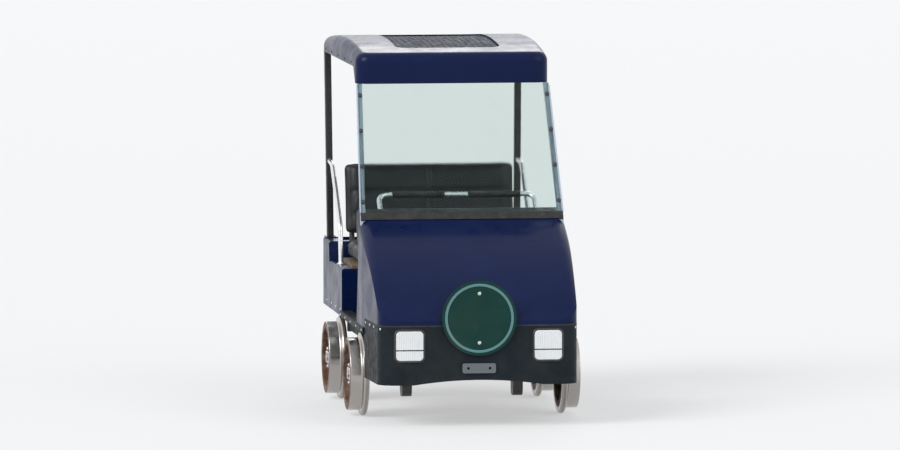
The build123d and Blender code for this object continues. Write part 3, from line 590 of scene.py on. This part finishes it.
def rounded_rect(half_w, half_h, radius, steps=6):
    """Points round a rectangle with rounded corners, with their outward normals."""
    points, normals = [], []
    for cx, cy, start in ((1, 1, 0), (-1, 1, 90), (-1, -1, 180), (1, -1, 270)):
        for i in range(steps + 1):
            angle = math.radians(start + 90 * i / steps)
            normal = Vector((math.cos(angle), math.sin(angle)))
            points.append(Vector((cx * (half_w - radius), cy * (half_h - radius))) + radius * normal)
            normals.append(normal)
    return points, normals


def add_bezel(bm, centre, half_w, half_h, corner, rows):
    """Bead round a lamp, from rows of how far it goes beyond the lamp and its place along Y."""
    rings = []
    for grow, y in rows:
        points, _ = rounded_rect(half_w + grow, half_h + grow, corner + grow)
        rings.append([bm.verts.new(centre + Vector((p.x, y, p.y))) for p in points])
    bridge(bm, rings, capped=False, looped=True)


def nose_plan():
    """Level line round the bumper, from its left end to its right end, with outward normals."""
    lean = math.atan2(body_half - nose_half, taper_end_y - nose_y)
    out = Vector((math.cos(lean), -math.sin(lean), 0))
    widest = Vector((body_half, taper_end_y, 0))
    centre = Vector((nose_half + nose_corner * math.tan(lean) - nose_corner / math.cos(lean),
                     nose_y + nose_corner, 0))
    end = centre + out * nose_corner
    start = widest.lerp(end, (bumper_end_y - widest.y) / (end.y - widest.y))
    count = int((end - start).length / 0.02)
    line = [start.lerp(end, i / count) for i in range(count + 1)]
    normals = [out] * len(line)
    for i in range(1, 11):
        angle = lean + (math.pi / 2 - lean) * i / 10
        normals.append(Vector((math.cos(angle), -math.sin(angle), 0)))
        line.append(centre + normals[-1] * nose_corner)
    return (line + [Vector((-p.x, p.y, 0)) for p in line[::-1]],
            normals + [Vector((-n.x, n.y, 0)) for n in normals[::-1]])


# Front: seam strip, screws, lamp bezels, board screws
plan_line, plan_normals = nose_plan()


def seam_strip(bm):
    add_ribbon(bm, [p + Vector((0, 0, seam_z)) for p in plan_line], plan_normals, 0.0035, 0.0012)


piece("seam_strip", seam_strip, looks["seal_rubber"], "car_body")


def seam_screws(bm):
    for place in (2, 8, 14, 22):
        for i in (place, len(plan_line) - 1 - place):
            add_round(bm, plan_line[i] + Vector((0, 0, seam_z - 0.016)), plan_normals[i], 0.0065, 0.003, i)


piece("seam_screws", seam_screws, fastener_metal, "car_body")


def lamp_bezel(side):
    def make(bm):
        add_bezel(bm, Vector((side * lamp_x, nose_y, lamp_z)), lamp_half_w, lamp_half_h, lamp_corner,
                  ((0.0002, 0.0005), (0.0005, -0.0045), (0.0045, -0.006), (0.009, -0.004), (0.011, 0.0005)))
    return make


for side_name, side in (("left", 1), ("right", -1)):
    piece(f"lamp_bezel_{side_name}", lamp_bezel(side), looks["tube_black"], "car_body", 60)


def board_screws(bm):
    for z in (board_z - board_screw_reach, board_z + board_screw_reach):
        add_round(bm, (0, board_face_y, z), (0, -1, 0), 0.009, 0.0017, z * 50)


piece("board_screws", board_screws, fastener_metal, "car_body")


# Windscreen: clips on the pillars, thin channels along the free edges
screen_up = (screen_top - screen_base).normalized()
screen_out = Vector((0, -screen_up.z, screen_up.y))
screen_length = (screen_top - screen_base).length


def screen_point(side, share, inset, out=0.0):
    """Point on the outer face of the windscreen, by share of the height and distance from the edge."""
    half = screen_base_half + (screen_top_half - screen_base_half) * share
    return (Vector((side * (half - inset), 0, 0)) + screen_base + screen_up * screen_length * share
            + screen_out * (screen_thickness + out))


def screen_clips(bm):
    for side in (-1, 1):
        for share in (0.1, 0.37, 0.64, 0.91):
            add_lathe(bm, turned(screen_point(side, share, 0.014), screen_out),
                      [(0, 0), (0.0115, 0), (0.0115, 0.002), (0.009, 0.0042), (0.004, 0.0048),
                       (0, 0.0048)], 18)


piece("screen_clips", screen_clips, fastener_black, "car_body", 50)


def screen_trim(bm):
    for side in (-1, 1):
        shares = [0.02 + 0.955 * i / 20 for i in range(21)]
        add_tube(bm, [screen_point(side, share, 0.0, -0.0025) for share in shares], 0.0048, 8)


# The trim takes the pillar finish, whose pale blue-grey is a painted sky reflection.
piece("screen_trim", screen_trim, looks["pillar_pale"], "car_body")


# Roof: screws along the rim, ribbed sheet in the sunken panel, strut plates
def roof_screws(bm):
    widening = (roof_rear_half - roof_front_half) / roof_length
    for side in (-1, 1):
        for y in (0.1, 0.35, 0.6, 0.85, 1.08):
            half = roof_front_half + widening * (y - roof_front_y)
            add_round(bm, (side * half, y, roof_screw_z), (side, -widening, 0), 0.006, 0.003, y * 20)


piece("roof_screws", roof_screws, fastener_black, "car_body")


def roof_grip(bm):
    """Sheet with raised ribs that lies on the floor of the sunken roof panel and follows its crown."""
    roof = BVHTree.FromObject(nodes["roof_shell"], bpy.context.evaluated_depsgraph_get())

    def half_at(y):
        near_end = grip_corner - min(y - grip_front, grip_rear - y)
        if near_end <= 0:
            return grip_half
        return grip_half - grip_corner + math.sqrt(max(0.0, grip_corner ** 2 - near_end ** 2))

    def strip(x, half_of, ys, lift, height):
        rows = []
        for y in ys:
            w = half_of(y)
            on_floor = clamp(y, grip_front + 0.0015, grip_rear - 0.0015)
            z = roof.ray_cast(Vector((0, on_floor, 2.2)), Vector((0, 0, -1)))[0].z + lift
            rows.append([bm.verts.new((x + dx, y, z + dz)) for dx, dz in
                         ((-w, 0), (-w * 0.97, height), (w * 0.97, height), (w, 0))])
        bridge(bm, rows)

    ends = [0.0, 0.003, 0.008, 0.016, 0.028, 0.042]
    straight = grip_rear - grip_front - 2 * grip_corner
    ys = [grip_front + end for end in ends]
    ys += [grip_front + grip_corner + straight * i / 28 for i in range(29)]
    ys += [grip_rear - end for end in ends[::-1]]
    strip(0.0, half_at, ys, 0.0003, 0.0018)
    for i in range(17):
        x = -0.24 + 0.03 * i
        first = next(y for y in ys if half_at(y) > abs(x) + 0.012)
        last = grip_front + grip_rear - first
        strip(x, lambda y: 0.006, [first + (last - first) * k / 30 for k in range(31)], 0.0016, 0.0022)


piece("roof_grip", roof_grip, roof_coating, "car_body")


def strut_plates(bm):
    for side in (-1, 1):
        for place, half_x, half_y in ((strut_foot, 0.031, 0.034), (strut_head, 0.0205, 0.0215)):
            points, _ = rounded_rect(half_x, half_y, 0.01, 4)
            bridge(bm, [[bm.verts.new((side * place.x + p.x, place.y + p.y, place.z + rise)) for p in points]
                        for rise in (0.0, strut_plate_height)])


piece("strut_plates", strut_plates, looks["tube_black"], "car_body", bevel=0.001)


def strut_bolts(bm):
    for side in (-1, 1):
        for dx in (-0.0235, 0.0235):
            for dy in (-0.0265, 0.0265):
                add_hex(bm, (side * strut_foot.x + dx, strut_foot.y + dy, strut_foot.z + strut_plate_height),
                        (0, 0, 1), 0.0055, 0.004)


piece("strut_bolts", strut_bolts, fastener_metal, "car_body")


# Wheels: hub nut, washers and bolts that turn with the wheelset
def hub_fittings(end):
    def make(bm):
        for side in (-1, 1):
            centre = Vector((side * hub_face_x, axle_places[end], axle_height))
            normal = Vector((side, 0, 0))
            add_lathe(bm, turned(centre, normal),
                      [(0, 0), (0.03, 0), (0.03, 0.0015), (0.0285, 0.0025), (0, 0.0025)], 32)
            add_hex(bm, centre + normal * 0.0025, normal, 0.021, 0.009)
            for k in range(6):
                angle = math.radians(60 * k + 30)
                offset = hub_bolt_circle * Vector((0, math.cos(angle), math.sin(angle)))
                add_hex(bm, centre + offset, normal, 0.0075, 0.006, 0.0105, k)
    return make


for end in axle_places:
    piece(f"hub_fittings_{end}", hub_fittings(end), fastener_metal, f"{end}_wheelset", 40)


# Frame: bearing flanges on the pedestals, bolts of the pedestals and the rear beam
def bearing_flanges(bm):
    for y in axle_places.values():
        for side in (-1, 1):
            centre = Vector((side * pedestal_inner_x, y, axle_height))
            add_lathe(bm, turned(centre, (-side, 0, 0)),
                      [(bearing_bore, 0), (0.046, 0), (0.046, 0.005), (0.038, 0.009), (0.034, 0.016),
                       (bearing_bore, 0.016), (bearing_bore, 0)], 36)
            for k in range(4):
                angle = math.radians(90 * k + 45)
                offset = bearing_bolt_circle * Vector((0, math.cos(angle), math.sin(angle)))
                add_hex(bm, centre + offset - Vector((side * 0.005, 0, 0)), (-side, 0, 0),
                        0.0055, 0.005, 0.0, k)


piece("bearing_flanges", bearing_flanges, looks["case_metal"], "car_body", 40)


def frame_bolts(bm):
    for y in axle_places.values():
        for side in (-1, 1):
            for dy in (-0.045, 0.045):
                add_hex(bm, (side * pedestal_outer_x, y + dy, pedestal_bolt_z), (side, 0, 0),
                        0.0085, 0.006, 0.012)
    for x in (-0.34, -0.24, 0.24, 0.34):
        add_hex(bm, (x, end_beam_y, end_beam_z), (0, 1, 0), 0.008, 0.006, 0.011)


piece("frame_bolts", frame_bolts, fastener_metal, "car_body")


# Floor: ribbed mat in the footwell, ribbed mat in the cargo well, pedal pads
def floor_mat(bm):
    add_mat(bm, (-0.44, -0.612, 0.3951), (0.44, 0.27, 0.3985), 43, 0.02, 0.003, 0.012, 0.0005, 0.0027)


piece("floor_mat", floor_mat, mat_rubber, "car_body", bevel=0.0008, segments=1)


def cargo_mat(bm):
    add_mat(bm, (-0.44, 0.962, 0.5601), (0.44, 1.168, 0.5631), 30, 0.03, 0.004, 0.005, 0.0001, 0.0024)


piece("cargo_mat", cargo_mat, mat_rubber, "car_body", bevel=0.0008, segments=1)


def pedal_pads(bm):
    basis = Matrix((Vector((1, 0, 0)), toe_run, toe_out)).transposed().to_4x4()
    for x in pedal_places:
        centre = Vector((x, 0, 0)) + toe_foot + toe_run * pedal_rise + toe_out * pedal_face
        place = Matrix.Translation(centre) @ basis
        add_box(bm, (-0.0335, -0.0535, 0.0), (0.0335, 0.0535, 0.003), place)
        for i in range(7):
            v = -0.045 + 0.015 * i
            add_box(bm, (-0.03, v - 0.0035, 0.0028), (0.03, v + 0.0035, 0.006), place)


piece("pedal_pads", pedal_pads, mat_rubber, "car_body", bevel=0.001)


# Rails: foot flanges of the hip rails, grip sleeves on the grab rail
def rail_flanges(bm):
    for side in (-1, 1):
        add_lathe(bm, turned((side * hip_foot.x, hip_foot.y, hip_foot.z), (0, 0, 1)),
                  [(0.0127, 0), (0.024, 0), (0.024, 0.003), (0.017, 0.005), (0.0145, 0.012), (0.0127, 0.012),
                   (0.0127, 0)], 28)


piece("rail_flanges", rail_flanges, looks["tube_bright"], "car_body", 40)


def grip_sleeve(bm):
    bore, ribs = 0.0126, 18
    for start, end in ((-0.33, -0.06), (0.06, 0.33)):
        length = end - start
        step = (length - 0.02) / ribs
        profile = [(bore, 0), (0.0155, 0.001), (0.0165, 0.004)]
        for i in range(ribs):
            base = 0.01 + step * i
            profile += [(0.0163, base + 0.15 * step), (0.0172, base + 0.35 * step),
                        (0.0172, base + 0.65 * step), (0.0163, base + 0.85 * step)]
        profile += [(0.0165, length - 0.004), (0.0155, length - 0.001), (bore, length), (bore, 0)]
        add_lathe(bm, turned((start, grab_y, grab_z), (1, 0, 0)), profile, 24)


piece("grip_sleeve", grip_sleeve, mat_rubber, "car_body", 40)


# Rear and sides: lamp bezels, screws of the body, screws of the seat hinges
def tail_bezels(bm):
    for x in (-tail_lamp_x, tail_lamp_x):
        add_bezel(bm, Vector((x, rear_face_y, tail_lamp_z)), tail_lamp_half_w, tail_lamp_half_h,
                  tail_lamp_corner,
                  ((0.0003, 0.0003), (0.0003, 0.005), (0.003, 0.0065), (0.006, 0.004), (0.007, 0.0003)))


piece("tail_bezels", tail_bezels, looks["tube_black"], "car_body", 60)


def rear_screws(bm):
    for x in (-0.44, -0.22, 0.0, 0.22, 0.44):
        add_round(bm, (x, rear_face_y, rear_screw_z), (0, 1, 0), 0.006, 0.003, x * 9)
    for side in (-1, 1):
        for y in (0.36, 0.56, 0.76, 0.96):
            add_round(bm, (side * rear_body_half, y, rear_side_screw_z), (side, 0, 0), 0.006, 0.003, y * 9)
        for y in (-0.66, -0.42, -0.18, 0.06, 0.26):
            add_round(bm, (side * sill_half, y, sill_screw_z), (side, 0, 0), 0.0055, 0.003, y * 9)


piece("rear_screws", rear_screws, fastener_metal, "car_body")


def hinge_screws(bm):
    for x in hinge_places:
        for dx in (-0.014, 0.014):
            add_round(bm, (x + dx, hinge_face_y, hinge_screw_z), (0, -1, 0), 0.004, 0.002, dx * 99)


piece("hinge_screws", hinge_screws, fastener_metal, "car_body")


# Soft seats
def soft_form(name, half_x, half_v, height, radius):
    """Padded form in its own frame (across, along, out), swollen by a cloth simulation."""
    bm = bmesh.new()
    bmesh.ops.create_cube(bm, size=2.0)
    bmesh.ops.subdivide_edges(bm, edges=bm.edges, cuts=15, use_grid_fill=True)
    halves = (half_x - swell, half_v - swell, height / 2 - swell)
    for vert in bm.verts:
        inner = Vector([along * half for along, half in zip(vert.co, halves)])
        core = Vector([clamp(along, radius - half, half - radius) for along, half in zip(inner, halves)])
        off = inner - core
        if off.length > 1e-9:
            inner = core + off.normalized() * radius
        vert.co = inner + Vector((0, 0, height / 2))
    mesh = bpy.data.meshes.new(name)
    bm.to_mesh(mesh)
    bm.free()
    obj = bpy.data.objects.new(name, mesh)
    bpy.context.scene.collection.objects.link(obj)
    bpy.context.view_layer.objects.active = obj
    remesh = obj.modifiers.new("remesh", "REMESH")
    remesh.mode = "VOXEL"
    remesh.voxel_size = 0.0085
    graph = bpy.context.evaluated_depsgraph_get()
    grown = bpy.data.meshes.new_from_object(obj.evaluated_get(graph))
    obj.modifiers.clear()
    obj.data = grown
    rest = [vert.co.copy() for vert in grown.vertices]
    cloth = obj.modifiers.new("cloth", "CLOTH")
    settings = cloth.settings
    settings.use_pressure = True
    settings.uniform_pressure_force = 4.0
    settings.quality = 4
    settings.effector_weights.gravity = 0
    scene = bpy.context.scene
    for number in range(1, 21):
        scene.frame_set(number)
    graph = bpy.context.evaluated_depsgraph_get()
    places = [vert.co.copy() for vert in obj.evaluated_get(graph).to_mesh().vertices]
    obj.evaluated_get(graph).to_mesh_clear()
    obj.modifiers.clear()
    scene.frame_set(1)
    for vert, start, end in zip(obj.data.vertices, rest, places):
        move = end - start
        if move.length > swell_limit:
            move = move.normalized() * swell_limit
        vert.co = start + move
    return obj


def smooth_step(value):
    value = clamp(value, 0.0, 1.0)
    return value * value * (3 - 2 * value)


def valley(distance, width):
    """1 on a sewn line, falling to 0 beside it."""
    return math.exp(-(distance / width) ** 2)


def shape_seat(obj, half_x, half_v, height, seams_v):
    """Crowns the form, sews in the middle seam and the channels, and keeps it in its space."""
    for vert in obj.data.vertices:
        x, v, w = vert.co
        top = smooth_step((w / height - 0.45) / 0.4)
        crown = crown_rise * max(0.0, 1 - (abs(x) / half_x) ** 4) * max(0.0, 1 - (abs(v) / half_v) ** 4)
        inside = smooth_step((half_x - 0.035 - abs(x)) / 0.03) * smooth_step((half_v - 0.03 - abs(v)) / 0.03)
        groove = max(valley(x, 0.0065) * smooth_step((half_v - abs(v)) / 0.02),
                     valley(abs(x) - side_seam_x, 0.006) * inside)
        groove_wide = valley(x, 0.03) * 0.5
        for seam in seams_v:
            groove = max(groove, valley(v - seam, 0.006) * inside)
            groove_wide = max(groove_wide, valley(v - seam, 0.022) * inside)
        w += top * (crown - 0.007 * groove - 0.006 * groove_wide)
        vert.co = (clamp(x, -half_x, half_x), clamp(v, -half_v, half_v),
                   clamp(w, 0.0005, height + crown_rise))


def edge_line(obj, half_x, half_v, height, radius):
    """Row of points on the rounded edge of a form, found by rays from outside."""
    tree = BVHTree.FromObject(obj, bpy.context.evaluated_depsgraph_get())
    tilt = math.radians(38)
    outline, normals = rounded_rect(half_x - 0.03, half_v - 0.03, radius, 8)
    count = len(outline)
    line = []
    for i in range(count):
        one, other = outline[i], outline[(i + 1) % count]
        steps = max(1, int((other - one).length / 0.012))
        for k in range(steps):
            point = one.lerp(other, k / steps)
            normal = normals[i].lerp(normals[(i + 1) % count], k / steps).normalized()
            out = Vector((normal.x * math.cos(tilt), normal.y * math.cos(tilt), math.sin(tilt)))
            hit = tree.ray_cast(Vector((point.x, point.y, height * 0.55)) + out * 0.3, -out, 0.6)[0]
            if hit is not None:
                line.append(hit - out * 0.0008)
    return line


def finish_soft(obj, matrix, body, slot):
    obj.data.transform(matrix)
    obj.data.update()
    obj.data.materials.clear()
    obj.data.materials.append(looks[slot])
    for polygon in obj.data.polygons:
        polygon.use_smooth = True
    modifier = obj.modifiers.new("smooth", "SUBSURF")
    modifier.levels = 1
    modifier.render_levels = 1
    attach(obj, body)


def soft_seat(name, half_x, half_v, height, radius, seams_v, matrix, body):
    """Soft form in the place of a solid, and the maker of the piping round its upper edge."""
    obj = soft_form(name, half_x, half_v, height, radius)
    shape_seat(obj, half_x, half_v, height, seams_v)
    line = edge_line(obj, half_x, half_v, height, radius)
    finish_soft(obj, matrix, body, "seat_vinyl")
    return obj, lambda bm: add_tube(bm, [matrix @ point for point in line], 0.0042, 8, closed=True)


# Seat cushion: it lies flat, with the hinge edge at the front
cushion_low, cushion_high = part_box("seat_cushion")
cushion_x, cushion_y = (cushion_low.x + cushion_high.x) / 2, (cushion_low.y + cushion_high.y) / 2
cushion_half_x, cushion_half_v = (cushion_high.x - cushion_low.x) / 2, (cushion_high.y - cushion_low.y) / 2
cushion_matrix = Matrix.Translation((cushion_x, cushion_y, cushion_low.z))
cushion, cushion_piping = soft_seat("seat_cushion_soft", cushion_half_x, cushion_half_v,
                                    cushion_high.z - cushion_low.z, cushion_corner, (-0.12, 0.02, 0.14),
                                    cushion_matrix, "seat_lid")
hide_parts("seat_cushion")
piece("seat_cushion_piping", cushion_piping, piping_vinyl, "seat_lid", 80)

# Seat back: the same kind of form, stood up along its lean
back_up = (back_head - back_foot).normalized()
back_out = Vector((0, -back_up.z, back_up.y))
back_length = (back_head - back_foot).length
back_thick = back_depth * back_up.z
back_matrix = Matrix((Vector((1, 0, 0)), back_up, back_out)).transposed().to_4x4()
back_matrix = Matrix.Translation((back_foot + back_head) / 2 - back_out * back_thick) @ back_matrix
seat_back, back_piping = soft_seat("seat_back_soft", back_half, back_length / 2, back_thick, back_corner,
                                   (-0.08, 0.04), back_matrix, "car_body")
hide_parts("seat_back")
piece("seat_back_piping", back_piping, piping_vinyl, "car_body", 80)


# Floor, lamps and world
def background_seen(tree):
    """1 for the kinds of ray that see the background, and 0 for the light that falls on the car."""
    path = tree.nodes.new("ShaderNodeLightPath")
    value = path.outputs["Is Camera Ray"]
    for kind in ("Is Glossy Ray", "Is Transmission Ray"):
        node = tree.nodes.new("ShaderNodeMath")
        node.operation = "MAXIMUM"
        tree.links.new(value, node.inputs[0])
        tree.links.new(path.outputs[kind], node.inputs[1])
        value = node.outputs["Value"]
    return value


def mixed(tree, factor, one, other, output):
    node = tree.nodes.new("ShaderNodeMixShader")
    tree.links.new(factor, node.inputs[0])
    tree.links.new(one, node.inputs[1])
    tree.links.new(other, node.inputs[2])
    tree.links.new(node.outputs["Shader"], output.inputs["Surface"])


# The floor takes the shadow near the car, and goes over into white with distance
stage_half = 150
stage_material = bpy.data.materials.new("stage_pale")
stage_material.use_nodes = True
tree = stage_material.node_tree
stage_shader = tree.nodes["Principled BSDF"]
stage_shader.inputs["Base Color"].default_value = (0.8, 0.81, 0.82, 1)
stage_shader.inputs["Roughness"].default_value = 0.9
stage_shader.inputs["Specular IOR Level"].default_value = 0.1
glow = tree.nodes.new("ShaderNodeEmission")
glow.inputs["Color"].default_value = (1, 1, 1, 1)
reach = tree.nodes.new("ShaderNodeVectorMath")
reach.operation = "LENGTH"
tree.links.new(tree.nodes.new("ShaderNodeTexCoord").outputs["Object"], reach.inputs[0])
fade = tree.nodes.new("ShaderNodeMapRange")
for socket, value in (("From Min", 12.0), ("From Max", 110.0), ("To Min", 0.48), ("To Max", 1.0)):
    fade.inputs[socket].default_value = value
tree.links.new(reach.outputs["Value"], fade.inputs["Value"])
share = tree.nodes.new("ShaderNodeMath")
share.operation = "MULTIPLY"
tree.links.new(background_seen(tree), share.inputs[0])
tree.links.new(fade.outputs["Result"], share.inputs[1])
mixed(tree, share.outputs["Value"], stage_shader.outputs["BSDF"], glow.outputs["Emission"],
      tree.nodes["Material Output"])
stage_mesh = bpy.data.meshes.new("stage_floor")
stage_mesh.from_pydata([(x * stage_half, y * stage_half, 0) for x, y in ((-1, -1), (1, -1), (1, 1), (-1, 1))],
                       [], [(0, 1, 2, 3)])
stage_mesh.materials.append(stage_material)
stage_floor = bpy.data.objects.new("stage_floor", stage_mesh)
bpy.context.scene.collection.objects.link(stage_floor)

world = bpy.data.worlds.new("studio")
bpy.context.scene.world = world
world.use_nodes = True
tree = world.node_tree
tree.nodes.clear()
soft = tree.nodes.new("ShaderNodeBackground")
soft.inputs["Color"].default_value = (0.95, 0.97, 1.0, 1)
soft.inputs["Strength"].default_value = 0.5
seen = tree.nodes.new("ShaderNodeBackground")
seen.inputs["Color"].default_value = (1, 1, 1, 1)
mixed(tree, background_seen(tree), soft.outputs["Background"], seen.outputs["Background"],
      tree.nodes.new("ShaderNodeOutputWorld"))


def sun_lamp(name, towards, strength, softness):
    """Even light from one direction, with soft shadows."""
    data = bpy.data.lights.new(name, "SUN")
    data.energy = strength
    data.angle = math.radians(softness)
    lamp = bpy.data.objects.new(name, data)
    bpy.context.scene.collection.objects.link(lamp)
    lamp.location = Vector(towards) * 6
    lamp.rotation_mode = "QUATERNION"
    lamp.rotation_quaternion = (-Vector(towards)).to_track_quat("-Z", "Y")


sun_lamp("key", (-0.68, -0.42, 0.6), 1.9, 34)
sun_lamp("fill", (0.6, -0.62, 0.5), 0.7, 50)
sun_lamp("rim", (0.2, 0.9, 0.4), 0.45, 24)

bpy.context.scene.view_settings.view_transform = "Standard"
